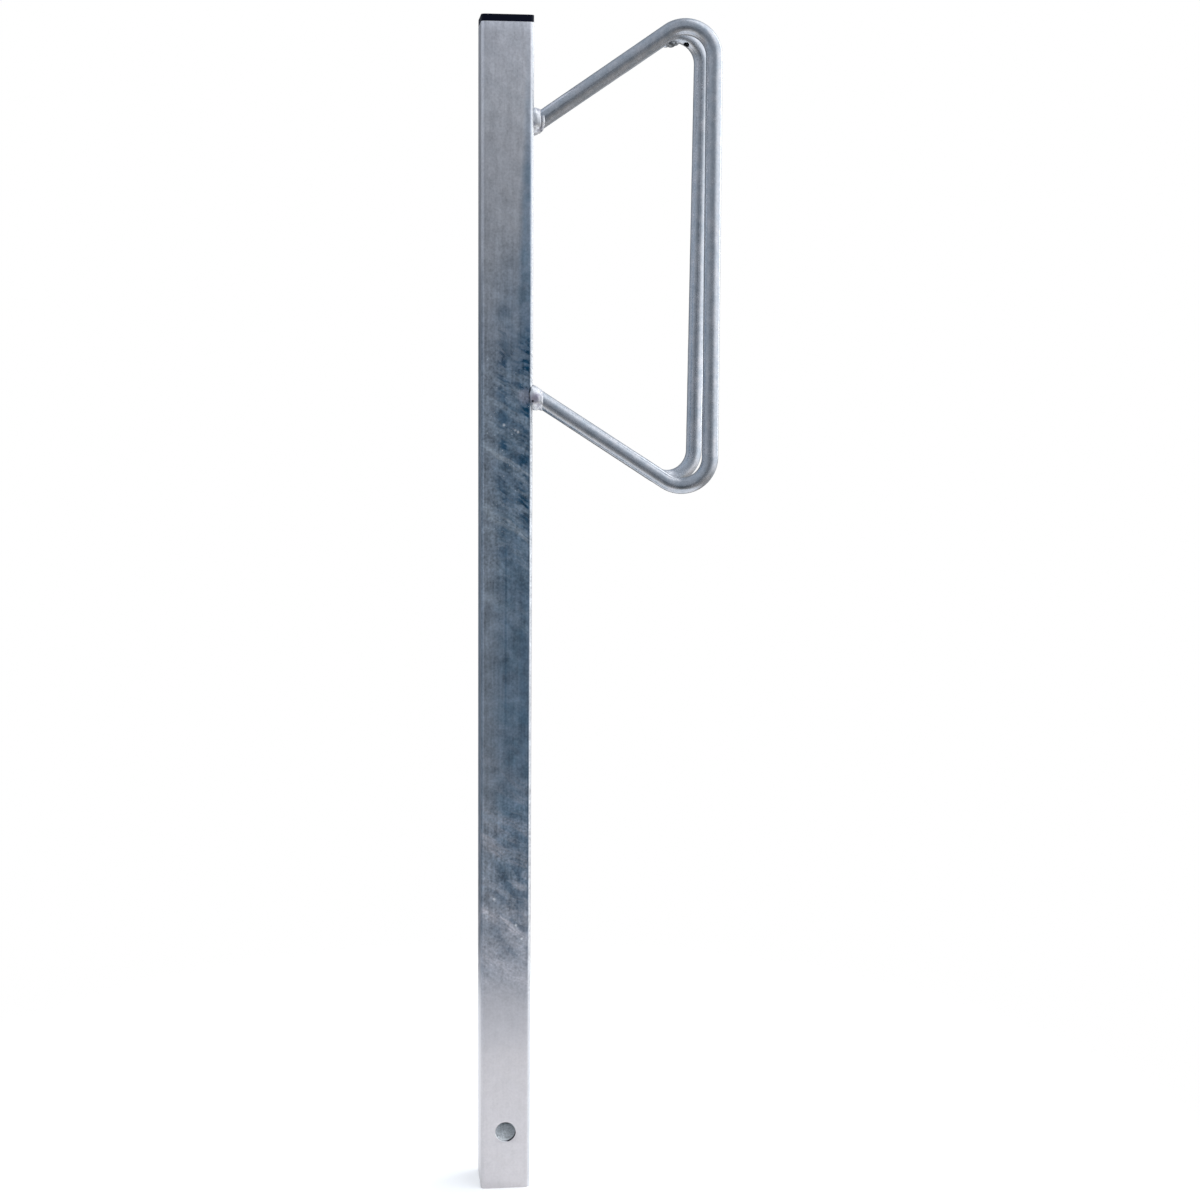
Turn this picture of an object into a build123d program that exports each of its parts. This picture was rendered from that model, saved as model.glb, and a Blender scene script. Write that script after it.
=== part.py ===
from build123d import *
import os
from math import copysign, radians, tan

# A bike stand for one bicycle: a square post that is set in the ground, with two wheel hoops welded to one of its
# faces. Millimetres, +Z up. The origin is the centre of the post's foot. The hoops reach out along +X, and the
# front wheel rolls in between them, towards the post. Left and right are the rider's, so left is at -Y.

# Post: square hollow section
post_width = 50.0
post_wall = 3.0
post_corner = 4.5
post_length = 1150.0

# Cross hole near the foot, for an anchor bar in the concrete
anchor_hole_diameter = 20.0
anchor_hole_height = 60.0

# Wheel hoops: round tube, bent twice. Rise, fall and reach run from an arm's root on the post's face to the corner
# where the lines of the arm and the upright cross. The spreads are those halfway between the roots: from there up the
# hoops lean in towards each other, in degrees. So is the vent hole's turn from the inside of its bend to the other hoop
hoop_diameter = 16.0
hoop_wall = 2.0
hoop_bend_radius = 27.5
hoop_reach = 169.0
hoop_rise = 116.0
hoop_fall = 109.0
hoop_lean = 2.0
upper_root_drop = 93.5
root_spacing = 253.5
root_spread = 30.0
mouth_spread = 84.0
vent_diameter = 6.0
vent_turn = 30.0

# Weld beads: each lies thickest in the sharp corner between its arm and the post
bead_length = 7.5
bead_leg = 2.2
bead_shift = 2.7
bead_nose = 1.0
bead_nose_sag = 1.5
bead_wrap = 3.0

# End cap: a head as wide as the post, on a hollow plug with ribs that grip the bore
cap_head = 6.5
cap_inset = 0.1
cap_edge_radius = 0.5
plug_depth = 24.0
plug_wall = 2.5
plug_clearance = 0.2
rib_reach = 3.0
rib_thickness = 1.5
rib_corner = 5.0
rib_count = 3

# Worked out from the sizes above
post_face = post_width / 2
post_bore = post_width - 2 * post_wall
upper_root = post_length - upper_root_drop
lower_root = upper_root - root_spacing
hoop_radius = hoop_diameter / 2
hoop_flare = (mouth_spread - root_spread) / 2
root_middle = (upper_root + lower_root) / 2

# Post, with the anchor hole straight through its front and back walls
with BuildPart() as post:
    with BuildSketch():
        RectangleRounded(post_width, post_width, post_corner)
        RectangleRounded(post_bore, post_bore, post_corner - post_wall, mode=Mode.SUBTRACT)
    extrude(amount=post_length)
    with BuildSketch(Plane.XZ):
        with Locations((0, anchor_hole_height)):
            Circle(anchor_hole_diameter / 2)
    extrude(amount=post_width, both=True, mode=Mode.SUBTRACT)


def left_hoop_point(out, height):
    """The point of the left hoop's plane that lies this far out from the post's face, at this height."""
    lean_in = (height - root_middle) * tan(radians(hoop_lean))
    return Vector(post_face + out, lean_in - root_spread / 2 - hoop_flare * out / hoop_reach, height)


# Left hoop: swept in its own plane, which opens away from the other hoop and leans in over it. Both ends start inside
# the post and are cut off flush with its face. The vent hole lets zinc run out of the inside of the upper bend
upper_arm_root = left_hoop_point(0, upper_root)
upper_corner = left_hoop_point(hoop_reach, upper_root + hoop_rise)
lower_corner = left_hoop_point(hoop_reach, lower_root - hoop_fall)
lower_arm_root = left_hoop_point(0, lower_root)
end_overrun = hoop_diameter / hoop_reach

with BuildPart() as left_hoop:
    with BuildLine() as hoop_route:
        FilletPolyline(
            upper_arm_root - (upper_corner - upper_arm_root) * end_overrun,
            upper_corner,
            lower_corner,
            lower_arm_root - (lower_corner - lower_arm_root) * end_overrun,
            radius=hoop_bend_radius,
        )
    with BuildSketch(Plane(origin=hoop_route.line @ 0, z_dir=hoop_route.line % 0)):
        Circle(hoop_radius)
        Circle(hoop_radius - hoop_wall, mode=Mode.SUBTRACT)
    sweep()
    split(bisect_by=Plane.YZ.offset(post_face), keep=Keep.TOP)
    upper_bend = hoop_route.edges().filter_by(GeomType.CIRCLE).sort_by(Axis.Z)[-1]
    bend_middle = upper_bend @ 0.5
    bend_inside = upper_bend.arc_center - bend_middle
    vent_way = bend_inside.rotate(Axis(bend_middle, upper_bend % 0.5), vent_turn)
    with BuildSketch(Plane(origin=bend_middle, z_dir=vent_way)):
        Circle(vent_diameter / 2)
    extrude(amount=hoop_diameter, mode=Mode.SUBTRACT)

# Right hoop: the left one mirrored in the stand's middle plane
with BuildPart() as right_hoop:
    mirror(left_hoop.part, about=Plane.XZ)


def left_weld(root, corner):
    """The bead round the left arm that runs from its root on the post's face to a corner of the hoop."""
    arm = corner - root
    sharp_side = copysign(1, arm.Z)
    half_height = hoop_radius * arm.length / hoop_reach
    nose_centre = root + arm * (bead_length / hoop_reach)
    with BuildPart() as bead:
        with BuildSketch(Plane.YZ.offset(post_face - bead_wrap)):
            with Locations((root.Y, root.Z + sharp_side * bead_shift)):
                Ellipse(hoop_radius + bead_leg, half_height + bead_leg)
        with BuildSketch(Plane.YZ.offset(post_face + bead_length)):
            with Locations((nose_centre.Y, nose_centre.Z - sharp_side * bead_nose_sag)):
                Ellipse(hoop_radius + bead_nose, half_height + bead_nose)
        loft()
        add(post.part, mode=Mode.SUBTRACT)
        with BuildPart(mode=Mode.SUBTRACT):
            with BuildSketch(Plane(origin=root, z_dir=arm)):
                Circle(hoop_radius)
            extrude(amount=hoop_reach, both=True)
            split(bisect_by=Plane.YZ.offset(post_face), keep=Keep.TOP)
    return bead.part


# Weld beads: one at each arm's root
with BuildPart() as left_upper_weld:
    add(left_weld(upper_arm_root, upper_corner))

with BuildPart() as left_lower_weld:
    add(left_weld(lower_arm_root, lower_corner))

with BuildPart() as right_upper_weld:
    mirror(left_upper_weld.part, about=Plane.XZ)

with BuildPart() as right_lower_weld:
    mirror(left_lower_weld.part, about=Plane.XZ)

# End cap: the head sits on the end of the tube, the plug hangs in it, and the ribs stand out to the bore
head_width = post_width - 2 * cap_inset
plug_width = post_bore - 2 * rib_reach
rib_width = post_bore - 2 * plug_clearance
rib_pitch = plug_depth / (rib_count + 1)

with BuildPart() as end_cap:
    with BuildSketch(Plane.XY.offset(post_length)):
        RectangleRounded(head_width, head_width, post_corner - cap_inset)
    extrude(amount=cap_head)
    fillet(end_cap.faces().sort_by(Axis.Z)[-1].edges(), cap_edge_radius)
    with BuildSketch(Plane.XY.offset(post_length)):
        RectangleRounded(plug_width, plug_width, plug_wall)
    extrude(amount=-plug_depth)
    for rib in range(1, rib_count + 1):
        with BuildSketch(Plane.XY.offset(post_length - rib * rib_pitch)):
            RectangleRounded(rib_width, rib_width, rib_corner)
        extrude(amount=-rib_thickness)
    with BuildSketch(Plane.XY.offset(post_length - plug_depth)):
        Rectangle(plug_width - 2 * plug_wall, plug_width - 2 * plug_wall)
    extrude(amount=plug_depth, mode=Mode.SUBTRACT)

pieces = {
    "post": post,
    "end_cap": end_cap,
    "left_hoop": left_hoop,
    "right_hoop": right_hoop,
    "left_upper_weld": left_upper_weld,
    "left_lower_weld": left_lower_weld,
    "right_upper_weld": right_upper_weld,
    "right_lower_weld": right_lower_weld,
}
os.makedirs("parts", exist_ok=True)
for name, piece in pieces.items():
    piece.part.label = name
    export_step(piece.part, f"parts/{name}.step")
    print(name, len(piece.solids()), "solid", round(piece.part.volume), "mm3", piece.part.bounding_box())
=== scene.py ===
# %% [markdown]
# A galvanised bike stand, from bare frame to finished picture.
# The stand is a square steel post that is cast into the ground, with two hoops of bent tube welded to one
# of its faces. A bicycle's front wheel rolls in between the hoops. After welding, the whole thing was
# dipped in molten zinc, so almost everything to be seen is zinc: cloudy, streaked where it ran off, and
# lumpy where it froze. A black cap closes the post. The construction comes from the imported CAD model,
# which stays as it is. This lesson gives each piece its real skin.

# %% Load the frame
import math

import bmesh
import bpy
from mathutils import Matrix, Vector


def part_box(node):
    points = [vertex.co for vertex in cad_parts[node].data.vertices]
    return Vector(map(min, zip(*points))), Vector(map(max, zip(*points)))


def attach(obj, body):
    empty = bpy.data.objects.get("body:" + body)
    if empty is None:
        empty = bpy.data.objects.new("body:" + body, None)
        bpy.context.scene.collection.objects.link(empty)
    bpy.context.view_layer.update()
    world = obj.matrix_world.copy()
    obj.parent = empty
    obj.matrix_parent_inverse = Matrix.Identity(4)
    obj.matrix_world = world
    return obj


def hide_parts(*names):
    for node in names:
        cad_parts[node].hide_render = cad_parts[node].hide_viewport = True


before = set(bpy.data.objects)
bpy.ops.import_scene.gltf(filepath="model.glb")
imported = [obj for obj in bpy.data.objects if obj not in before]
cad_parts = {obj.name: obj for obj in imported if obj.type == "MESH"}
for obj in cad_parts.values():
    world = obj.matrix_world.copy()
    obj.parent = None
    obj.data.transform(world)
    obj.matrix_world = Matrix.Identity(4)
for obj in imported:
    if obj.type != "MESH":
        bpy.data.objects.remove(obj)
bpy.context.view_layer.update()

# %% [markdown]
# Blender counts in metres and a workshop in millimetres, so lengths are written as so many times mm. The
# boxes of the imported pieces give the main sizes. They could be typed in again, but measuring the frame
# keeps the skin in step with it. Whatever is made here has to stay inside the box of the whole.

mm = 0.001
post_low, post_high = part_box("post")
hoop_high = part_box("left_hoop")[1]
cap_low, cap_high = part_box("end_cap")

# %% [markdown]
# The camera comes first, because every later choice is judged through it. It stands about two metres from
# the stand, a little to the left of the post and just above the lower welds, and looks down by some eight
# degrees. A lens of about 61 mm on a 36 mm sensor gives the weak perspective of a catalogue picture. The
# turns are written as three rotations, one after the other, because a camera's roll is about its own line
# of sight and not about an axis of the scene.

# %% Camera
camera_place = Vector((-139.0, -1976.5, 892.0)) * mm
camera_lens = 60.94
camera_sensor = 36.0
camera_yaw = math.radians(6.735)
camera_pitch = math.radians(8.366)
camera_roll = math.radians(0.517)

bpy.ops.object.select_all(action="DESELECT")
bpy.ops.object.camera_add()
camera = bpy.context.object
camera.data.sensor_width = camera_sensor
camera.data.lens = camera_lens
camera.matrix_world = (
    Matrix.Translation(camera_place)
    @ Matrix.Rotation(-camera_yaw, 4, "Z")
    @ Matrix.Rotation(math.pi / 2 - camera_pitch, 4, "X")
    @ Matrix.Rotation(camera_roll, 4, "Z")
)
bpy.context.scene.camera = camera
line_of_sight = camera.matrix_world.to_quaternion() @ Vector((0, 0, -1))
print("Camera looks along", [round(x, 3) for x in line_of_sight])

# %% [markdown]
# Modelling by operator means that what is selected decides what happens. A few small helpers keep that
# tidy: one leaves edit mode with nothing selected, one takes a single piece, one names what was just
# added, one opens a piece again, and one picks parts of a mesh by a test of their place.

# %% Helpers: selecting and opening
doubles_within = 0.001 * mm


def start_clean():
    """Back to object mode with nothing selected, so that the next operator acts only on what it adds."""
    if bpy.context.object and bpy.context.object.mode != "OBJECT":
        bpy.ops.object.mode_set(mode="OBJECT")
    bpy.ops.object.select_all(action="DESELECT")


def take(piece):
    """Selects one piece alone and makes it the active one."""
    start_clean()
    bpy.context.view_layer.objects.active = piece
    piece.select_set(True)


def begin_piece(name):
    """Names the primitive that was just added, puts its place into its mesh and opens it in edit mode."""
    bpy.ops.object.transform_apply(location=True, rotation=True, scale=True)
    piece = bpy.context.object
    piece.name = piece.data.name = name
    bpy.ops.object.mode_set(mode="EDIT")
    bpy.ops.mesh.select_all(action="SELECT")
    return piece


def open_piece(piece):
    """Opens a finished piece in edit mode again."""
    take(piece)
    bpy.ops.object.mode_set(mode="EDIT")


def pick(kind, test):
    """In edit mode, selects the VERT, EDGE or FACE items that pass the test, and says how many."""
    bpy.ops.mesh.select_mode(type=kind)
    bpy.ops.mesh.select_all(action="DESELECT")
    mesh = bmesh.from_edit_mesh(bpy.context.object.data)
    mesh.normal_update()
    items = {"VERT": mesh.verts, "EDGE": mesh.edges, "FACE": mesh.faces}[kind]
    found = [item for item in items if test(item)]
    for item in found:
        item.select_set(True)
    mesh.select_flush_mode()
    return len(found)


def middle(item):
    """The middle of an edge or a face."""
    return sum((v.co for v in item.verts), Vector()) / len(item.verts)


def face_outwards(piece):
    """Merges doubles and turns every face outwards."""
    open_piece(piece)
    bpy.ops.mesh.select_all(action="SELECT")
    bpy.ops.mesh.remove_doubles(threshold=doubles_within)
    bpy.ops.mesh.normals_make_consistent(inside=False)
    bpy.ops.object.mode_set(mode="OBJECT")


print("Pieces can be taken, opened and picked from")

# %% [markdown]
# The other helpers are steps that come again on every piece: a modifier that is applied at once, a shape
# that is cut out or joined on, a block with rounded corners, a round cutter, a mirrored copy for the other
# side of the stand. The last one hands a finished piece over: it rides on a body, so that it moves with
# it, and takes the place of a node of the CAD model.

# %% Helpers: cutting, copying and finishing
corner_steps = 8


def apply_modifier(piece, kind, **settings):
    """Adds a modifier to the piece, sets it up and applies it."""
    take(piece)
    modifier = piece.modifiers.new(kind.title(), kind)
    for key, value in settings.items():
        setattr(modifier, key, value)
    bpy.ops.object.modifier_apply(modifier=modifier.name)


def cut_away(piece, cutter, solver="EXACT"):
    """Cuts the cutter's shape out of the piece and deletes the cutter."""
    apply_modifier(piece, "BOOLEAN", object=cutter, operation="DIFFERENCE", solver=solver)
    bpy.data.objects.remove(cutter)


def join_on(piece, addition, solver="EXACT"):
    """Joins the addition's shape to the piece and deletes the addition."""
    apply_modifier(piece, "BOOLEAN", object=addition, operation="UNION", solver=solver)
    bpy.data.objects.remove(addition)


def plain_block(centre, sizes):
    """A block with sharp edges, to cut with."""
    start_clean()
    bpy.ops.mesh.primitive_cube_add(size=1, location=centre, scale=sizes)
    return bpy.context.object


def rounded_block(name, width, low, high, corner):
    """A square block with rounded upright corners, between two heights, open in edit mode."""
    plain_block((0, 0, (low + high) / 2), (width, width, high - low))
    block = begin_piece(name)
    pick("EDGE", lambda edge: abs(edge.verts[0].co.z - edge.verts[1].co.z) > 0.9 * (high - low))
    bpy.ops.mesh.bevel(offset=corner, segments=corner_steps, affect="EDGES")
    return block


def round_cutter(centre, way, radius, length, sides):
    """A cylinder along a way, to cut with."""
    start_clean()
    bpy.ops.mesh.primitive_cylinder_add(
        vertices=sides,
        radius=radius,
        depth=length,
        location=centre,
        rotation=way.to_track_quat("Z", "Y").to_euler(),
    )
    return bpy.context.object


def mirrored_copy(piece, name):
    """A copy with its own mesh on the other side of the stand's middle plane."""
    take(piece)
    bpy.ops.object.duplicate()
    copy = bpy.context.object
    copy.name = copy.data.name = name
    bpy.ops.transform.resize(value=(1, -1, 1), center_override=(0, 0, 0))
    bpy.ops.object.transform_apply(location=True, rotation=True, scale=True)
    face_outwards(copy)
    return copy


def finish_piece(piece, body, node, smooth_degrees=35):
    """Shades the piece, lets it ride on its body and stand for its CAD node."""
    take(piece)
    bpy.ops.object.shade_smooth_by_angle(angle=math.radians(smooth_degrees))
    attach(piece, body)
    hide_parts(node)
    print(piece.name, "has", len(piece.data.polygons), "faces and stands for", node)


print("Rounded corners get", corner_steps, "steps")

# %% [markdown]
# The post is cold-formed square section, 50 mm wide with 3 mm walls and rounded corners. A cube would do
# for a distant view, but the section is easier to get right as an outline: a square whose corners are
# bevelled, drawn upwards in steps. The steps leave a grid of points on the walls, which frozen zinc pulls
# out of line later on.

# %% Post: the outline, drawn upwards
post_width = post_high.x - post_low.x
post_length = post_high.z - post_low.z
post_face = post_width / 2
post_corner = 4.5 * mm
post_grid = 9.5 * mm
flat_width = post_width - 2 * post_corner
post_steps = round(post_length / post_grid)

start_clean()
bpy.ops.mesh.primitive_plane_add(size=post_width, location=(0, 0, post_low.z))
post = begin_piece("galvanised_post")
bpy.ops.mesh.bevel(offset=post_corner, segments=corner_steps, affect="VERTICES")
bpy.ops.mesh.delete(type="ONLY_FACE")
flats = pick("EDGE", lambda edge: edge.calc_length() > flat_width / 2)
bpy.ops.mesh.subdivide(number_cuts=round(flat_width / post_grid) - 1)
bpy.ops.mesh.select_all(action="SELECT")
bpy.ops.mesh.extrude_repeat(steps=post_steps, offset=(0, 0, post_length / post_steps))
face_outwards(post)
print("Post:", flats, "flats,", post_steps, "steps of", round(post_length / post_steps / mm, 2), "mm")

# %% [markdown]
# Now the wall gets its thickness, and the cross hole is drilled for the bar that anchors the post in its
# concrete. The grid around the hole is dissolved into one large face first: a drilled edge in one big face
# bevels cleanly, and one that crosses a grid doesn't.

# %% Post: wall and cross hole
post_wall = 3 * mm
hole_radius = 10 * mm
hole_height = 60 * mm
hole_centre = Vector((0, 0, hole_height))
hole_sides = 72
hole_patch = 18 * mm
squarely = 0.9


def around_hole(face, facing):
    """True for a face of the front or back wall that lies around the hole."""
    place = middle(face) - hole_centre
    return face.normal.y * facing > squarely and abs(place.x) < hole_patch and abs(place.z) < hole_patch


open_piece(post)
for facing in (-1, 1):
    patch = pick("FACE", lambda face: around_hole(face, facing))
    bpy.ops.mesh.dissolve_faces()
    print("Dissolved", patch, "faces around the hole")
apply_modifier(post, "SOLIDIFY", thickness=post_wall, offset=-1, use_even_offset=True)

start_clean()
bpy.ops.mesh.primitive_cylinder_add(
    vertices=hole_sides,
    radius=hole_radius,
    depth=2 * post_width,
    location=hole_centre,
    rotation=(math.pi / 2, 0, 0),
)
cut_away(post, bpy.context.object)

# %% [markdown]
# Zinc rounds every sharp edge that it covers. The rims of the hole and the sawn ends therefore get small
# bevels. A Bevel modifier would find every edge that is sharp enough, but these two kinds get different
# sizes, so each is picked by its place and bevelled by hand.

# %% Post: softened edges
rim_round = 0.6 * mm
end_round = 0.5 * mm
rim_within = 0.05 * mm
flush = 0.01 * mm
sharp_turn = 1.0


def on_hole_rim(edge):
    """True for an edge that runs round the hole's mouth, in the plane of a wall."""
    ends = [v.co - hole_centre for v in edge.verts]
    on_circle = all(abs(math.hypot(p.x, p.z) - hole_radius) < rim_within for p in ends)
    return on_circle and abs(ends[0].y - ends[1].y) < rim_within


def on_sawn_end(edge):
    """True for a sharp edge of the post's foot or top."""
    at_end = all(min(v.co.z - post_low.z, post_high.z - v.co.z) < flush for v in edge.verts)
    return at_end and edge.calc_face_angle(0) > sharp_turn


open_piece(post)
rim_edges = pick("EDGE", on_hole_rim)
bpy.ops.mesh.bevel(offset=rim_round, segments=3, affect="EDGES")
end_edges = pick("EDGE", on_sawn_end)
bpy.ops.mesh.bevel(offset=end_round, segments=2, affect="EDGES")
print("Softened", rim_edges, "rim edges and", end_edges, "edges of the sawn ends")

# %% [markdown]
# Zinc doesn't run off perfectly. Here and there ash or a late drop freezes to the wall as a pimple a few
# millimetres across. A sculpted pimple would need a much finer grid. At this distance it is enough to take
# the grid's nearest point and pull it out with proportional editing, which lets close neighbours follow:
# the wall swells a little there. The drop's bright tip is a painted highlight in the finish.

# %% Post: the wall swells under frozen drops
front_drops = (
    # across the face, height, how far it stands out, how far it spreads
    (10.6 * mm, 767.0 * mm, 1.2 * mm, 2.6 * mm),
    (8.0 * mm, 768.8 * mm, 0.5 * mm, 2.2 * mm),
    (-2.9 * mm, 773.6 * mm, 0.5 * mm, 2.0 * mm),
    (-11.9 * mm, 303.6 * mm, 0.6 * mm, 2.2 * mm),
    (10.1 * mm, 276.3 * mm, 0.6 * mm, 2.4 * mm),
    (15.6 * mm, 262.0 * mm, 0.7 * mm, 2.4 * mm),
)


def swell_front(across, height, stand_out, spread):
    """Pulls out the point of the grid that is nearest to a place on the front wall."""
    place = Vector((across, -post_face, height))
    open_piece(post)
    mesh = bmesh.from_edit_mesh(post.data)
    nearest = min(mesh.verts, key=lambda v: (v.co - place).length_squared)
    pick("VERT", lambda v: v == nearest)
    bpy.ops.transform.translate(
        value=(0, -stand_out, 0),
        use_proportional_edit=True,
        proportional_edit_falloff="SMOOTH",
        proportional_size=spread,
        use_proportional_connected=True,
    )


for drop in front_drops:
    swell_front(*drop)
finish_piece(post, "stand", "post")
print("The front wall swells at", len(front_drops), "drops")

# %% [markdown]
# Each hoop is one length of 16 mm tube, bent twice on a 27.5 mm former: an arm, an upright, an arm. Before
# anything is drawn, the line that the tube follows is worked out. Its corner points come from the packed
# model's box and from the few sizes that the box can't tell: the hoops open away from each other towards
# the front, and lean in at the top.

# %% Hoops: the line that the tube follows
tube_radius = 8 * mm
root_spread = 30 * mm
mouth_spread = 84 * mm
upper_root_drop = 93.5 * mm
root_spacing = 253.5 * mm
hoop_rise = 116 * mm
hoop_fall = 109 * mm
hoop_lean = math.radians(2)

reach = hoop_high.x - tube_radius - post_face
upper_root = post_high.z - upper_root_drop
lower_root = upper_root - root_spacing
root_middle = (upper_root + lower_root) / 2


def hoop_point(side, out, height):
    """The point of a hoop's plane this far out from the post; side is -1 for left and 1 for right."""
    aside = root_spread / 2 + (mouth_spread - root_spread) / 2 * out / reach
    lean_in = (height - root_middle) * math.tan(hoop_lean)
    return Vector((post_face + out, side * (aside - lean_in), height))


def hoop_corners(side):
    """The upper arm's root, the two corners and the lower arm's root of one hoop."""
    return [
        hoop_point(side, 0, upper_root),
        hoop_point(side, reach, upper_root + hoop_rise),
        hoop_point(side, reach, lower_root - hoop_fall),
        hoop_point(side, 0, lower_root),
    ]


for corner in hoop_corners(-1):
    print("Left hoop's corner in mm:", [round(x / mm, 1) for x in corner])

# %% [markdown]
# The tube could be a curve with a round bevel, but it is made the way the bender makes it. A circle at the
# arm's root is drawn along the arm, spun about the centre of the first bend, drawn along the upright, spun
# again and drawn back to the post. It starts and ends a little inside the post, to be cut off flush later.
# The second hoop is a mirrored copy with its own mesh.

# %% Hoops: draw, spin, draw, spin, draw
tube_sides = 48
tube_grid = 4 * mm
bend_radius = 27.5 * mm
bend_steps = 20
root_overrun = 2 * tube_radius


def draw_along(run):
    """Draws the selected ring along a straight run, in steps about as long as the grid is wide."""
    steps = max(1, round(run.length / tube_grid))
    bpy.ops.mesh.extrude_repeat(steps=steps, offset=run / steps)


def bend_tube(name, corners):
    """A tube's outer skin along the corner points."""
    first_arm = (corners[1] - corners[0]).normalized()
    last_arm = (corners[-1] - corners[-2]).normalized()
    route = [corners[0] - first_arm * root_overrun, *corners[1:-1], corners[-1] + last_arm * root_overrun]
    start_clean()
    bpy.ops.mesh.primitive_circle_add(
        vertices=tube_sides,
        radius=tube_radius,
        location=route[0],
        rotation=first_arm.to_track_quat("Z", "Y").to_euler(),
    )
    tube = begin_piece(name)
    place = route[0]
    for before, corner, after in zip(route, route[1:], route[2:]):
        along = (corner - before).normalized()
        away = (after - corner).normalized()
        turn = along.angle(away)
        trim = bend_radius * math.tan(turn / 2)
        draw_along(corner - along * trim - place)
        inwards = (away - along * away.dot(along)).normalized()
        centre = corner - along * trim + inwards * bend_radius
        axis = along.cross(away).normalized()
        # without a window, spin turns against the right-hand rule, so the turn is given as a negative one
        bpy.ops.mesh.spin(steps=bend_steps, angle=-turn, center=centre, axis=axis)
        place = corner + away * trim
    draw_along(route[-1] - place)
    face_outwards(tube)
    return tube


left_tube = bend_tube("left_wheel_hoop", hoop_corners(-1))
hoops = {-1: left_tube, 1: mirrored_copy(left_tube, "right_wheel_hoop")}
for hoop in hoops.values():
    print(hoop.name, "reaches", round(max(v.co.z for v in hoop.data.vertices) / mm, 1), "mm high")

# %% [markdown]
# The zinc on the tubes is not even: it is thicker where it drained last. A Displace modifier with a cloud
# texture takes away up to a fifth of a millimetre here and there, always inwards, so the tube stays within
# its real size, and the light on it wavers as it does on the real one. Then Solidify gives the tube its
# 2 mm wall.

# %% Hoops: the uneven coat and the wall
tube_wall = 2 * mm
coat_depth = 0.22 * mm

clouds = bpy.data.textures.new("uneven_coat", "CLOUDS")
clouds.noise_scale = 18 * mm
clouds.noise_depth = 1
uneven = {"texture": clouds, "strength": coat_depth, "mid_level": 1.0, "texture_coords": "LOCAL"}

for hoop in hoops.values():
    apply_modifier(hoop, "DISPLACE", **uneven)
    apply_modifier(hoop, "SOLIDIFY", thickness=tube_wall, offset=-1)
print("Coat up to", round(coat_depth / mm, 2), "mm thinner, on a wall of", round(tube_wall / mm, 1), "mm")

# %% [markdown]
# On the far hoop, the last zinc crept along the arm to where the bend begins and froze there as a lump.
# Three flattened balls, joined to the tube, make that lump; pulling it out of the tube's own skin would
# stretch its faces too far. Each ball sits on the inside of the bend, a share of the way round it.

# %% Hoops: the frozen lump
ball_sides = 32
ball_rings = 24
lump_balls = (
    # share of the bend where the ball sits, half its width, half its length, how far it hangs out
    (0.06, 3.6 * mm, 4.6 * mm, 2.0 * mm),
    (0.17, 4.4 * mm, 5.2 * mm, 3.7 * mm),
    (0.27, 3.6 * mm, 3.8 * mm, 2.4 * mm),
)


def bend_skin(side, share, turn=0.0):
    """A place on the inside of a hoop's upper bend, the way out from there and the way of the tube."""
    root, corner, far_corner = hoop_corners(side)[:3]
    along = (corner - root).normalized()
    away = (far_corner - corner).normalized()
    bend = along.angle(away)
    inwards = (away - along * away.dot(along)).normalized()
    centre = corner - along * bend_radius * math.tan(bend / 2) + inwards * bend_radius
    tube_way = along * math.cos(share * bend) + inwards * math.sin(share * bend)
    to_centre = inwards * math.cos(share * bend) - along * math.sin(share * bend)
    out = to_centre * math.cos(turn) - tube_way.cross(to_centre) * side * math.sin(turn)
    return centre - to_centre * bend_radius + out * tube_radius, out, tube_way


for share, half_width, half_length, hang in lump_balls:
    place, out, tube_way = bend_skin(1, share)
    start_clean()
    bpy.ops.mesh.primitive_uv_sphere_add(
        segments=ball_sides,
        ring_count=ball_rings,
        radius=1,
        location=place + out * (hang - half_width),
        rotation=tube_way.to_track_quat("Z", "Y").to_euler(),
        scale=(half_width, half_width, half_length),
    )
    print("Ball of", [round(x / mm, 1) for x in bpy.context.object.dimensions], "mm")
    join_on(hoops[1], bpy.context.object, "MANIFOLD")

# %% [markdown]
# A dipped tube must be open somewhere, or the zinc bath would burst it: a vent hole in each upper bend lets
# the air out. It looks down and a little towards the other hoop. A block as wide as the post cuts both
# ends of a hoop flush with the post's face.

# %% Hoops: ends and vent holes
vent_radius = 3 * mm
vent_share = 0.5
vent_turn = math.radians(30)
vent_sides = 32

for side, node in ((-1, "left_hoop"), (1, "right_hoop")):
    hoop = hoops[side]
    block = plain_block((0, 0, post_length / 2), (post_width, 2 * post_width, 2 * post_length))
    cut_away(hoop, block, "MANIFOLD")
    vent, out, tube_way = bend_skin(side, vent_share, vent_turn)
    drill = round_cutter(vent, out, vent_radius, 2 * tube_radius, vent_sides)
    cut_away(hoop, drill, "MANIFOLD")
    finish_piece(hoop, "stand", node)

# %% [markdown]
# The arms are welded to the post all round. Each bead is a thick collar, heaviest in the sharp corner
# between arm and post; the upper ones end in a blunt nose on the arm. A row of spheres would look like a
# necklace, because the zinc has filled the ripples of the weld. So the collar is a loft: flattened rings
# stand one behind the other, and a bridge joins them.

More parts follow.
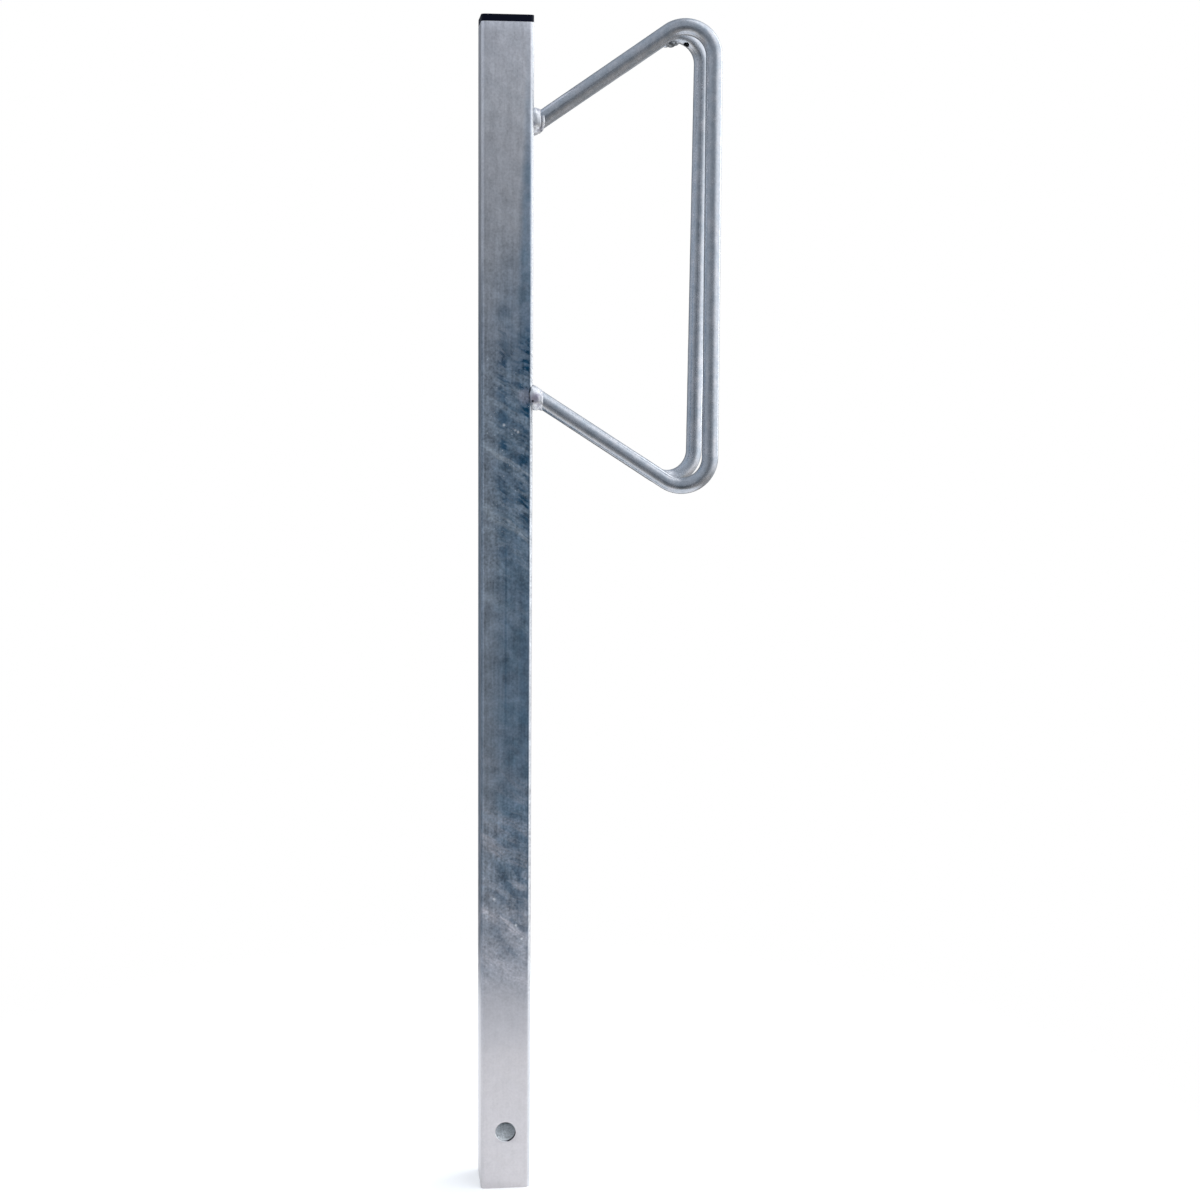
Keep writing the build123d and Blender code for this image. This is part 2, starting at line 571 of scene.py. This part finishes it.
# %% Weld beads: rings and bridge
ring_points = 40
bead_rings = {
    # distance from the post's face, how much wider than the arm, how far it leans into the sharp corner
    "upper": (
        (-4.0 * mm, 2.0 * mm, 3.4 * mm),
        (0.2 * mm, 2.6 * mm, 3.6 * mm),
        (2.6 * mm, 2.6 * mm, 2.4 * mm),
        (4.8 * mm, 2.0 * mm, 1.0 * mm),
        (6.4 * mm, 1.5 * mm, 0.0 * mm),
        (7.0 * mm, 0.4 * mm, -0.4 * mm),
        (8.2 * mm, 0.9 * mm, -1.2 * mm),
        (10.0 * mm, 0.6 * mm, -1.2 * mm),
        (11.2 * mm, -0.8 * mm, -0.6 * mm),
    ),
    "lower": (
        (-4.0 * mm, 2.2 * mm, 3.2 * mm),
        (0.2 * mm, 2.4 * mm, 3.0 * mm),
        (2.4 * mm, 2.0 * mm, 2.2 * mm),
        (4.4 * mm, 1.7 * mm, 1.6 * mm),
        (6.2 * mm, 0.8 * mm, 0.8 * mm),
        (8.4 * mm, 0.8 * mm, 0.4 * mm),
        (10.4 * mm, -0.7 * mm, 0.0 * mm),
    ),
}


def ring_bead(name, root, arm, rings):
    """The collar round one arm's root, before it gets its lumps."""
    sharp = math.copysign(1, arm.z)
    tall = tube_radius / math.cos(math.asin(arm.z))
    start_clean()
    for number, (out, wider, lean) in enumerate(rings):
        centre = root + arm * (out / arm.x) + Vector((0, 0, sharp * lean))
        bpy.ops.mesh.primitive_circle_add(
            vertices=ring_points, radius=1 * mm, location=centre, rotation=(0, math.pi / 2, 0)
        )
        if number == 0:
            bead = begin_piece(name)
        flatten = (1, (tube_radius + wider) / mm, (tall + wider) / mm)
        bpy.ops.transform.resize(value=flatten, center_override=centre)
    bpy.ops.mesh.select_all(action="SELECT")
    bpy.ops.mesh.bridge_edge_loops()
    bpy.ops.mesh.select_mode(type="EDGE")
    bpy.ops.mesh.select_all(action="DESELECT")
    bpy.ops.mesh.select_non_manifold()
    bpy.ops.mesh.edge_face_add()
    face_outwards(bead)
    return bead


left_corners = hoop_corners(-1)
arms = {
    # the root of a left arm, and the way it leaves the post
    "upper": (left_corners[0], (left_corners[1] - left_corners[0]).normalized()),
    "lower": (left_corners[3], (left_corners[2] - left_corners[3]).normalized()),
}
beads = {}
for level, (root, arm) in arms.items():
    beads["left", level] = ring_bead(f"left_{level}_bead", root, arm, bead_rings[level])
    beads["right", level] = mirrored_copy(beads["left", level], f"right_{level}_bead")
print(len(beads), "collars of", [len(rings) for rings in bead_rings.values()], "rings")

# %% [markdown]
# Two levels of subdivision round a collar off, and a cloud texture gives it broad lumps. What lies inside
# the arm or the post is cut away, with a hair's breadth left to seat the bead in the arm's skin, and so is
# what would cross the middle between the two hoops.

# %% Weld beads: lumps, and what lies inside arm and post cut away
bead_lump = 2.0 * mm
bead_seat = 0.3 * mm
arm_sides = 64
arm_length = 8 * tube_radius

lumps = bpy.data.textures.new("bead_lumps", "CLOUDS")
lumps.noise_scale = 7 * mm
lumps.noise_depth = 1
lumpy = {"texture": lumps, "strength": bead_lump, "mid_level": 0.5, "texture_coords": "LOCAL"}

for (side, level), bead in beads.items():
    to_side = Vector((1, 1 if side == "left" else -1, 1))
    root, arm = (point * to_side for point in arms[level])
    apply_modifier(bead, "SUBSURF", levels=2, render_levels=2)
    apply_modifier(bead, "DISPLACE", **lumpy)
    arm_core = round_cutter(root, arm, tube_radius - bead_seat, arm_length, arm_sides)
    cut_away(bead, arm_core, "MANIFOLD")
    post_core = rounded_block("post_core", post_width, -post_length / 2, 3 * post_length / 2, post_corner)
    cut_away(bead, post_core, "MANIFOLD")
    beyond_middle = (0, to_side.y * post_width / 2, root.z)
    cut_away(bead, plain_block(beyond_middle, (2 * post_width, post_width, 2 * post_width)), "MANIFOLD")
    finish_piece(bead, "stand", f"{side}_{level}_weld", smooth_degrees=60)

# %% [markdown]
# The cap is one plastic moulding: a flat head that covers the end of the post, and below it a hollow plug
# with three thin ribs that grip the bore. The plug only shows when the cap is pulled, but then it shows
# well, so it is made in full. Head, plug and ribs are boxes with bevelled corners, joined by Boolean
# unions, and the hollow is cut out last.

# %% End cap: its sizes
cap_head = cap_high.z - post_high.z
head_width = cap_high.x - cap_low.x
head_corner = post_corner - (post_width - head_width) / 2
head_round = 0.5 * mm
bore = post_width - 2 * post_wall
rib_clearance = 0.2 * mm
rib_reach = 3 * mm
rib_thickness = 1.5 * mm
rib_corner = 5 * mm
rib_count = 3
rib_width = bore - 2 * rib_clearance
plug_depth = post_high.z - cap_low.z
plug_wall = 2.5 * mm
plug_width = bore - 2 * rib_reach
plug_overlap = cap_head / 3
hollow_width = plug_width - 2 * plug_wall
hollow_corner = 1 * mm
print("Cap:", round(head_width / mm, 1), "mm wide, with a plug", round(plug_depth / mm, 1), "mm deep")

# %% [markdown]
# Each box is added at its size and place, its upright edges are bevelled, and where a hand would feel an
# edge, at the top of the head and at the underside of a rib, that edge is picked by its height and rounded
# as well. The plug reaches a little into the head, so that the union has no faces that just touch.

# %% End cap: head, plug, ribs and hollow
cap = rounded_block("cap_moulding", head_width, post_high.z, cap_high.z, head_corner)
pick("EDGE", lambda edge: all(v.co.z > cap_high.z - flush for v in edge.verts))
bpy.ops.mesh.bevel(offset=head_round, segments=3, affect="EDGES")
join_on(cap, rounded_block("plug", plug_width, cap_low.z, post_high.z + plug_overlap, plug_wall))
for number in range(1, rib_count + 1):
    rib_top = post_high.z - number * plug_depth / (rib_count + 1)
    rib_bottom = rib_top - rib_thickness
    rib = rounded_block("rib", rib_width, rib_bottom, rib_top, rib_corner)
    pick("EDGE", lambda edge: all(v.co.z < rib_bottom + flush for v in edge.verts))
    bpy.ops.mesh.bevel(offset=rib_thickness / 2, segments=2, affect="EDGES")
    join_on(cap, rib)
cut_away(cap, rounded_block("hollow", hollow_width, cap_low.z - cap_head, post_high.z, hollow_corner))
finish_piece(cap, "cap", "end_cap")

# %% [markdown]
# Finishes are node trees, and a node tree is a sum written with wires. The small class below lets Python
# write that sum as a sum. It holds one socket. An operator on it adds the Math node that a hand would add,
# and one method adds any other kind of node: settings first, then the values or links of its sockets. The
# rest are masks that come again and again: soft steps, bands, strips and spots.

# %% Shader sums as Python expressions


class Wire:
    """A socket of a shader tree that can be used in Python expressions."""

    def __init__(self, tree, socket=None):
        self.tree = tree
        self.socket = socket

    def node(self, kind, settings=None, *values, out=0, **named):
        """Adds a node, sets it up, fills its sockets in order or by name, and returns one output."""
        made = self.tree.nodes.new("ShaderNode" + kind)
        for key, value in (settings or {}).items():
            if key == "stops":
                ramp = made.color_ramp.elements
                while len(ramp) < len(value):
                    ramp.new(1.0)
                for element, (position, colour) in zip(ramp, value):
                    element.position = position
                    element.color = colour
            else:
                setattr(made, key, value)
        shown = [socket for socket in made.inputs if socket.enabled]
        by_name = {socket.name: socket for socket in reversed(shown)}
        pairs = list(zip(shown, values))
        pairs += [(by_name[key.replace("_", " ")], value) for key, value in named.items()]
        for socket, value in pairs:
            if isinstance(value, Wire):
                self.tree.links.new(value.socket, socket)
            else:
                socket.default_value = value
        outputs = [socket for socket in made.outputs if socket.enabled]
        if isinstance(out, str):
            return Wire(self.tree, next(socket for socket in outputs if socket.name == out))
        return Wire(self.tree, outputs[out])

    def math(self, operation, *values):
        """A Math node on this wire and the values."""
        return self.node("Math", {"operation": operation}, self, *values)

    def __add__(self, other):
        return self.math("ADD", other)

    __radd__ = __add__

    def __sub__(self, other):
        return self.math("SUBTRACT", other)

    def __rsub__(self, other):
        return self.node("Math", {"operation": "SUBTRACT"}, other, self)

    def __mul__(self, other):
        return self.math("MULTIPLY", other)

    __rmul__ = __mul__

    def rises(self, low, high):
        """0 below low, 1 above high, with a soft passage between."""
        return self.node("MapRange", {"interpolation_type": "SMOOTHSTEP"}, self, low, high, 0.0, 1.0)

    def falls(self, low, high):
        """1 below low, 0 above high, with a soft passage between."""
        return self.node("MapRange", {"interpolation_type": "SMOOTHSTEP"}, self, low, high, 1.0, 0.0)

    def band(self, start, full, fade, end):
        """1 from full to fade, 0 below start and above end, with soft passages between."""
        return self.rises(start, full) * self.falls(fade, end)

    def strip(self, centre, inner, outer):
        """1 within the inner distance of a value, 0 beyond the outer one."""
        return (self - centre).math("ABSOLUTE").falls(inner, outer)

    def near(self, spot, inner, outer):
        """1 within the inner distance of a spot, 0 beyond the outer one, in millimetres."""
        return self.node("VectorMath", {"operation": "DISTANCE"}, self, spot, out="Value").falls(inner, outer)

    def between(self, first, second):
        """The first colour where this is 0, the second where it is 1."""
        return self.node("Mix", {"data_type": "RGBA"}, self, first, second)

    def ramp(self, *stops):
        """A colour ramp along this wire; each stop is a position and a colour."""
        return self.node("ValToRGB", {"stops": stops}, self)

    def times(self, factor):
        """This colour or place, scaled by a number."""
        return self.node("VectorMath", {"operation": "SCALE"}, self, Scale=factor)

    def axis(self, letter):
        """One of the three parts of a place: X, Y or Z."""
        return self.node("SeparateXYZ", None, self, out=letter)

    def noise(self, size, detail=2.0, stretch=1.0):
        """Cloudy noise from 0 to 1: blotches of this size in millimetres, drawn out upwards by stretch."""
        squeezed = self.node("VectorMath", {"operation": "MULTIPLY"}, self, (1, 1, 1 / stretch))
        return self.node("TexNoise", None, squeezed, Scale=1 / size, Detail=detail)


print("Wires can be added, taken away and multiplied")

# %% [markdown]
# Every finish starts and ends in the same way. It begins with a Principled shader and the place on the
# piece in millimetres, from its own Object coordinates, so that a pattern stays put when the piece moves.
# It ends with links to the shader's sockets, a relief that bends the light, and a piece to wear it.

# %% Helpers for finishes


def colour(red, green, blue):
    """A colour in linear light."""
    return (red, green, blue, 1.0)


def new_finish(name):
    """A new material, its shader, and its object coordinates in millimetres as a Wire to build on."""
    material = bpy.data.materials.new(name)
    material.use_nodes = True
    shader = material.node_tree.nodes["Principled BSDF"]
    metres = Wire(material.node_tree).node("TexCoord", out="Object")
    return material, shader, metres.times(1 / mm)


def connect(shader, **wires):
    """Links wires to the shader's sockets, which are named with underscores for spaces."""
    for name, wire in wires.items():
        wire.tree.links.new(wire.socket, shader.inputs[name.replace("_", " ")])


def roughen(shader, relief):
    """Lets a relief in millimetres bend the shader's normal."""
    connect(shader, Normal=relief.node("Bump", None, Strength=1.0, Distance=mm, Height=relief))


def dress(piece, material):
    """Gives a piece one material."""
    piece.data.materials.clear()
    piece.data.materials.append(material)
    print(piece.name, "wears", material.name)


# %% [markdown]
# The post's zinc has three zones. At the top it is a dull, even grey with faint brush marks. In the middle
# it froze thin and shiny and looks slate blue, partly as painted reflection of the room, more so towards
# the right of the picture, where the blue also reaches higher. The foot carries the thickest, palest coat.
# A colour ramp along the height gives the zones, and noise moves their borders. The place round the post
# is x plus y, which runs on from wall to wall without a break.

# %% Post finish: zones, brush marks and clouds
border_wander = 90.0
right_reach = 190.0

post_finish, shader, place = new_finish("post_zinc")
across, aside, height = (place.axis(letter) for letter in "XYZ")
half_post = post_face / mm
round_post = across + aside + half_post
level = height + border_wander * (place.noise(70.0, 3.0) - 0.5)
tone = (level * (mm / post_length)).ramp(
    (0.00, colour(0.565, 0.540, 0.550)),
    (0.12, colour(0.575, 0.548, 0.558)),
    (0.17, colour(0.490, 0.482, 0.510)),
    (0.21, colour(0.370, 0.390, 0.440)),
    (0.30, colour(0.395, 0.445, 0.515)),
    (0.60, colour(0.405, 0.458, 0.528)),
    (0.67, colour(0.375, 0.430, 0.500)),
    (0.74, colour(0.410, 0.440, 0.495)),
    (0.80, colour(0.560, 0.565, 0.595)),
    (0.90, colour(0.660, 0.645, 0.665)),
    (0.94, colour(0.740, 0.725, 0.745)),
    (1.00, colour(0.790, 0.770, 0.800)),
)
brush = place.noise(2.4, 3.0, stretch=20.0)
cloud = place.noise(11.0, 5.0)
grain = place.noise(2.2, 3.0)
away_from_edge = (round_post + half_post).math("PINGPONG", 2 * half_post).rises(3, 28)
reaches_up = right_reach * across.rises(8, 20)
# This mask lays the slate blue of the middle: partly a thin shiny coat, partly painted reflection of the
# room.
thin_coat_and_painted_reflection = away_from_edge * level.rises(255, 405) * (level - reaches_up).falls(790, 990)
ran_low = level.band(170, 240, 370, 450)
ran_high = level.band(540, 680, 800, 880)
thin = level.band(200, 320, 820, 1000)
dull = level.rises(780, 960)
print("Post finish: zones along", round(post_length / mm), "mm")

# %% [markdown]
# The post hung at a slant when it left the bath, so the last zinc ran off in pale streaks that cross the
# wall downwards. Height plus a share of the place round the post is the same all along such a streak.
# Noise on that sum, drawn out the other way, gives veils and fibres that lie along the slant. A few strong
# streaks have a place of their own.

# %% Post finish: slanting streaks
streak_slope = 0.66
streaks = (
    # height where the streak crosses the middle of the front, half its width, how strong it is
    (811.0, 7.0, 0.60),
    (786.0, 6.0, 0.45),
    (739.0, 5.0, 0.85),
    (677.0, 8.0, 0.85),
    (592.0, 12.0, 0.30),
    (430.0, 16.0, 0.25),
    (350.0, 16.0, 0.55),
    (275.0, 13.0, 0.80),
    (236.0, 17.0, 0.70),
)
wander = 16.0 * (place.noise(34.0, 2.0) - 0.5) + 2.5 * (place.noise(6.0, 2.0) - 0.5)
slant = height + streak_slope * round_post + wander
along = round_post - streak_slope * height


def drawn_out(thickness, length):
    """Noise in marks along the slant, this thick and this long in millimetres."""
    return slant.node("CombineXYZ", None, slant * (1 / thickness), along * (1 / length), 0.0).noise(1.0, 4.0)


veil = drawn_out(13.0, 60.0).rises(0.44, 0.62)
fibre = drawn_out(2.4, 26.0).rises(0.36, 0.66)
streak = (0.10 + 0.40 * ran_low + 0.40 * ran_high) * veil
for crossing, half_width, strength in streaks:
    streak = streak + strength * slant.strip(crossing, 0.0, half_width)
streak = streak * (0.35 + 0.65 * fibre)
print("Post finish:", len(streaks), "strong streaks")

# %% [markdown]
# Between the streaks lie navy blotches, where the coat is thinnest. They too are drawn out along the slant,
# and they are darkest in upright rows that come again round the post, as the rollers of the tube mill left
# them. Beside the lower weld they run together along the edge. Lower down the rollers left a fine dark
# line in the middle of the wall and a broad one to the right of it.

# %% Post finish: blotches and roll marks
row_pitch = 22.0
row_start = 5.2
roll_line = -0.7
roll_valley = 16.8

dab = drawn_out(10.0, 22.0).rises(0.45, 0.56)
dab = dab * (0.65 + 0.35 * place.noise(40.0, 2.0).rises(0.36, 0.60))
rows = ((round_post + row_start) * (2 * math.pi / row_pitch)).math("COSINE").rises(-0.6, 1.0)
blotch = (0.45 + 0.55 * rows) * level.band(600, 700, 840, 900) + 0.6 * level.band(240, 290, 330, 420)
blotch = away_from_edge * dab * blotch
blotch = blotch + 0.45 * round_post.strip(half_post, 4, 17) * level.band(740, 790, 850, 900)
rolled = 0.30 * across.strip(roll_line, 0.4, 1.5) * level.band(440, 520, 620, 690)
rolled = rolled + 0.32 * across.strip(roll_valley, 1.5, 6.0) * level.band(400, 470, 590, 650)
print("Post finish: rows of blotches every", row_pitch, "mm")

# %% [markdown]
# The colour is put together as a painter glazes: each mask lays the next colour over the last. The tone of
# the zones comes first, then the blue shine with a trace of teal, which is partly painted reflection, the
# navy blotches and roll marks, the pale run-off, and a lilac tint on the wall beside the near lower weld.

# %% Post finish: the colours laid over each other
weld_tint = (18.0, -25.0, 801.0)

teal = place.noise(18.0, 4.0).rises(0.46, 0.62)
# The blue shine and its teal are partly painted reflection of the room.
zinc = (0.58 * thin_coat_and_painted_reflection).between(tone, colour(0.145, 0.258, 0.385))
zinc = (0.28 * thin_coat_and_painted_reflection * teal).between(zinc, colour(0.08, 0.19, 0.27))
zinc = (0.95 * blotch + rolled).between(zinc, colour(0.016, 0.098, 0.190))
run_off = level.falls(420, 560).between(colour(0.46, 0.525, 0.59), colour(0.56, 0.55, 0.59))
zinc = streak.between(zinc, run_off)
zinc = (0.45 * place.near(weld_tint, 3.0, 11.0)).between(zinc, colour(0.50, 0.47, 0.55))
print("Post finish: tinted beside the weld at", weld_tint[2], "mm")

# %% [markdown]
# Spatter is bright, and each frozen drop gets a painted highlight on its tip. The rounded corners towards
# the hoops get a painted highlight, and where the coat is thin, painted shade runs as a dark line along every
# corner. The bore is a plain grey. Over all of it lies a fine mottle of brush marks, smears, clouds and
# grain, which makes the colour a share brighter or darker.

# %% Post finish: drops, corners, bore and mottle
drop_core = 0.5
drop_rim = 2.0

# Spatter specks are pale zinc; the bright spot on each drop's tip is a painted highlight.
spatter_and_drop_highlights = place.noise(1.8, 1.0).rises(0.72, 0.78) * (0.9 * ran_high + 0.5 * ran_low)
for drop_across, drop_height, stand_out, _ in front_drops:
    drop_tip = (drop_across / mm, -(post_face + stand_out) / mm, drop_height / mm)
    spatter_and_drop_highlights = spatter_and_drop_highlights + 0.9 * place.near(drop_tip, drop_core, drop_rim)
zinc = spatter_and_drop_highlights.math("MINIMUM", 0.9).between(zinc, colour(0.85, 0.87, 0.90))

# Painted shade and highlight on the rounded corners: a dark line where the curve begins, pale towards the
# hoops.
at_corner = aside.math("ABSOLUTE").rises(20.4, 21.4)
painted_corner_shade = at_corner * thin * (0.7 * across.rises(20.4, 21.2) + 0.5 * across.falls(-23.6, -22.6))
zinc = painted_corner_shade.between(zinc, colour(0.05, 0.09, 0.14))
zinc = (at_corner * across.rises(21.6, 23.2)).between(zinc, colour(0.64, 0.65, 0.67))
inside = across.math("ABSOLUTE").math("MAXIMUM", aside.math("ABSOLUTE")).falls(22.4, 22.8)
zinc = inside.between(zinc, colour(0.50, 0.53, 0.56))

smear = place.noise(6.0, 4.0, stretch=4.0)
speckle = 0.20 + 0.60 * thin + 0.30 * dull + 0.6 * ran_low + 0.6 * ran_high + 1.6 * inside
mottle = 1.0 + (0.10 + 0.60 * thin + 0.20 * dull) * (brush - 0.5) + 0.30 * dull * (smear - 0.5)
mottle = mottle + (0.20 + 0.60 * thin + 0.08 * dull) * (cloud - 0.5) + speckle * (grain - 0.5)
zinc = zinc.times(mottle)
print("Post finish:", len(front_drops), "bright drops")

# %% [markdown]
# The cross hole's lower lip gets a painted highlight on the left, where its wall faces the light, and a
# painted shade on the right, where it faces away. Both lie on the wall of the hole and its rounded rim,
# within a hair of the hole's radius; under the painted highlight the zinc is not metallic. Then colour,
# roughness and metal are linked, and grain, clouds and brush marks bend the light.

# %% Post finish: the hole's lip, and everything linked
hole_wall = hole_radius / mm
wall_inside = (post_wall - post_face) / mm

below = height - hole_height / mm
from_axis = (across * across + below * below).math("SQRT")
lip = from_axis.falls(hole_wall + 0.3, hole_wall + 0.8) * aside.falls(wall_inside + 0.4, wall_inside + 1.0)
# Painted highlight on the lip's left and painted shade on its right.
lip_painted_highlight = lip * below.falls(-4, 1) * across.falls(-1, 3)
lip_painted_shade = lip * below.falls(-2, 3) * across.rises(0, 4)
zinc = lip_painted_highlight.between(zinc, colour(0.95, 0.95, 0.97))
zinc = lip_painted_shade.between(zinc, colour(0.015, 0.015, 0.02))
rough = 0.33 + 0.12 * streak - 0.08 * blotch + 0.16 * (cloud - 0.5)
connect(shader, Base_Color=zinc, Roughness=rough, Metallic=0.9 - 0.9 * lip_painted_highlight)
roughen(shader, 0.05 * grain + 0.16 * cloud + 0.02 * brush)
dress(post, post_finish)

# %% [markdown]
# The tubes are the same zinc on a smaller piece, which cooled faster: satin, with cloudy blue-grey mottling
# of five to ten millimetres and no zones. The far hoop is made lighter than the near one, as painted light,
# and the lump on it gets painted shade round its lowest point.

# %% Tube finish
lump_share = lump_balls[1][0]
lump_place = bend_skin(1, lump_share)[0] / mm

tube_finish, shader, place = new_finish("tube_zinc")
cloud = place.noise(9.0, 4.0)
drained = place.noise(4.0, 3.0, stretch=5.0)
grain = place.noise(2.0, 3.0)
zinc = (0.6 * cloud + 0.4 * drained).ramp(
    (0.34, colour(0.45, 0.49, 0.54)),
    (0.50, colour(0.54, 0.56, 0.60)),
    (0.64, colour(0.62, 0.62, 0.65)),
)
# The far hoop's zinc is made lighter: painted light on that hoop.
far_hoop_painted_lighter = place.axis("Y").rises(-2, 2)
zinc = zinc.times((0.89 + 0.14 * far_hoop_painted_lighter) * (0.78 + 0.44 * grain))
# Painted shade round the lump's lowest point.
lump_painted_shade = place.near(tuple(lump_place), 3.5, 8.0)
zinc = (0.85 * lump_painted_shade).between(zinc, colour(0.11, 0.115, 0.115))
connect(shader, Base_Color=zinc, Roughness=0.25 + 0.25 * (cloud - 0.5))
shader.inputs["Metallic"].default_value = 0.9
roughen(shader, 0.03 * grain + 0.12 * cloud)
for hoop in hoops.values():
    dress(hoop, tube_finish)

# %% [markdown]
# The beads under their zinc are paler than the tubes, with a few dull stains. The near lower one has a
# lilac core darkened by painted shade, and a pit that is a black spot of painted shade. On the upper ones
# painted shade darkens the groove that parts the collar from its nose. Such marks have one place each, so
# they are spots and strips and not noise.

# %% Bead finish
bead_shaded_core = (26.0, -29.6, 799.5)
bead_pit_shade = (24.4, -29.0, 796.8)
groove_out = 32.4

bead_finish, shader, place = new_finish("bead_zinc")
stain = place.noise(5.0, 3.0).rises(0.5, 0.66)
grain = place.noise(1.2, 2.0)
# Painted shade in the groove between collar and nose.
groove_painted_shade = place.axis("X").strip(groove_out, 0.3, 1.2) * place.axis("Z").rises(1000, 1010)
zinc = (0.7 * stain).between(colour(0.80, 0.80, 0.82), colour(0.36, 0.35, 0.42))
# The near lower bead's core: a lilac tint with painted shade.
zinc = (0.80 * place.near(bead_shaded_core, 1.0, 8.0)).between(zinc, colour(0.36, 0.31, 0.40))
zinc = (0.7 * groove_painted_shade).between(zinc, colour(0.09, 0.09, 0.12))
# The pit is a black spot of painted shade; the bead has no hole there.
zinc = place.near(bead_pit_shade, 0.6, 1.9).between(zinc, colour(0.02, 0.02, 0.03))
connect(shader, Base_Color=zinc, Roughness=0.33 + 0.12 * stain)
shader.inputs["Metallic"].default_value = 0.6
roughen(shader, 0.08 * grain)
for bead in beads.values():
    dress(bead, bead_finish)

# %% [markdown]
# The cap is black polyethylene with a trace of blue, dull from the mould's fine grain. A plain colour would
# do at this distance, but scuffs that are a little paler and rougher keep it from looking like a hole.

# %% Cap finish
cap_finish, shader, place = new_finish("cap_plastic")
grain = place.noise(0.6, 2.0)
scuff = place.noise(6.0, 4.0).rises(0.55, 0.75)
black = (0.5 * scuff).between(colour(0.0035, 0.0050, 0.0150), colour(0.0060, 0.0075, 0.0180))
connect(shader, Base_Color=black, Roughness=0.42 + 0.2 * scuff)
shader.inputs["Specular IOR Level"].default_value = 0.08
roughen(shader, 0.02 * grain)
dress(cap, cap_finish)

# %% [markdown]
# Metal shows what stands around it, so the studio is built for its reflections. The floor is a pale disc
# that glows a little, like a light table, which brightens the foot of the post. Towards its rim it fades
# out, so that no edge of it shows in the metal.

# %% Floor
floor_radius = 0.85
floor_sides = 96
floor_glow = 0.45
fade_start = 0.50
fade_end = 0.80

start_clean()
bpy.ops.mesh.primitive_circle_add(
    vertices=floor_sides, radius=floor_radius, fill_type="NGON", location=(0, 0, post_low.z)
)
floor = bpy.context.object
floor.name = "floor"
floor_finish, shader, place = new_finish("floor_white")
shader.inputs["Base Color"].default_value = colour(0.85, 0.85, 0.85)
shader.inputs["Roughness"].default_value = 0.9
shader.inputs["Emission Color"].default_value = colour(1, 1, 1)
shader.inputs["Emission Strength"].default_value = floor_glow
connect(shader, Alpha=place.near((0.0, 0.0, 0.0), fade_start / mm, fade_end / mm))
dress(floor, floor_finish)

# %% [markdown]
# The room is only a background, and its light depends on the way one looks: how far that points east,
# north and up, and aside, which is east once the way is laid flat. Soft steps along these make a bright
# right wall with a window and a skylight, a paler left, a lit floor on the left, and dark places: the
# front, a strip behind the camera and the far left. The camera itself sees plain white.

# %% Room
base_light = 0.40

world = bpy.data.worlds.new("studio")
bpy.context.scene.world = world
world.use_nodes = True
background = world.node_tree.nodes["Background"]
way = Wire(world.node_tree).node("TexCoord", out="Generated")
east, north, up = (way.axis(letter) for letter in "XYZ")
aside = east.math("DIVIDE", (east * east + north * north).math("SQRT"))

ceiling = 0.08 * up.rises(0.10, 0.50)
right = 0.95 * aside.rises(0.18, 1.0) * up.rises(-0.60, -0.20) * (1.0 - 0.72 * north.rises(0.2, 0.9))
window = 0.30 * aside.rises(0.00, 0.60) * up.band(-0.03, 0.08, 0.20, 0.40)
skylight = 0.28 * aside.rises(-0.20, 0.50) * up.rises(0.30, 0.70)
left = 0.13 * aside.falls(-0.95, -0.35) * up.rises(-0.60, -0.20)
left_floor = 0.50 * aside.falls(-0.60, 0.30) * up.falls(-0.80, -0.50)
dark_front = 0.15 * north.falls(-0.90, -0.40) * up.falls(-0.02, 0.12)
dark_strip = 0.16 * aside.strip(-0.14, 0.03, 0.15) * north.falls(-0.50, -0.30) * up.falls(-0.05, 0.08)
dark_back = 0.22 * north.rises(0.55, 0.92) * aside.falls(-0.05, 0.25)
room = base_light + ceiling + right + window + skylight + left + left_floor
room = room - dark_front - dark_strip - dark_back

cool = aside.rises(0.10, 0.70).between(colour(0.90, 1.0, 1.13), colour(0.96, 1.0, 1.05))
tint = up.rises(-0.60, -0.20).between(colour(1.02, 1.0, 0.98), cool)
seen = way.node("LightPath", out="Is Camera Ray")
connect(background, Strength=room + seen * (1.0 - room), Color=seen.between(tint, colour(1, 1, 1)))
print("Room:", world.name, "with a base light of", base_light)

# %% [markdown]
# Two lamps add what the room can't. A tall area lamp stands to the right and a little behind, and lights
# the right-hand edges of post and tubes. A tiny point lamp sits inside the foot of the post, so that the
# bore shows grey through the cross hole and not black. Neither is seen by the camera itself.

# %% Lamps
key_place = Vector((1.4, 0.75, 1.35))
key_target = Vector((0.1, 0, 0.85))
key_width = 0.5
key_height = 1.6
key_power = 5
inside_place = Vector((0, -5, 12)) * mm
inside_radius = 8 * mm
inside_power = 0.006

start_clean()
bpy.ops.object.light_add(type="AREA", location=key_place)
key = bpy.context.object
key.data.shape = "RECTANGLE"
key.data.size = key_width
key.data.size_y = key_height
key.data.energy = key_power
key.visible_camera = False
key.rotation_euler = (key_target - key_place).to_track_quat("-Z", "Y").to_euler()

start_clean()
bpy.ops.object.light_add(type="POINT", radius=inside_radius, location=inside_place)
inside_lamp = bpy.context.object
inside_lamp.data.energy = inside_power
inside_lamp.visible_camera = False
bpy.context.scene.view_settings.view_transform = "Standard"
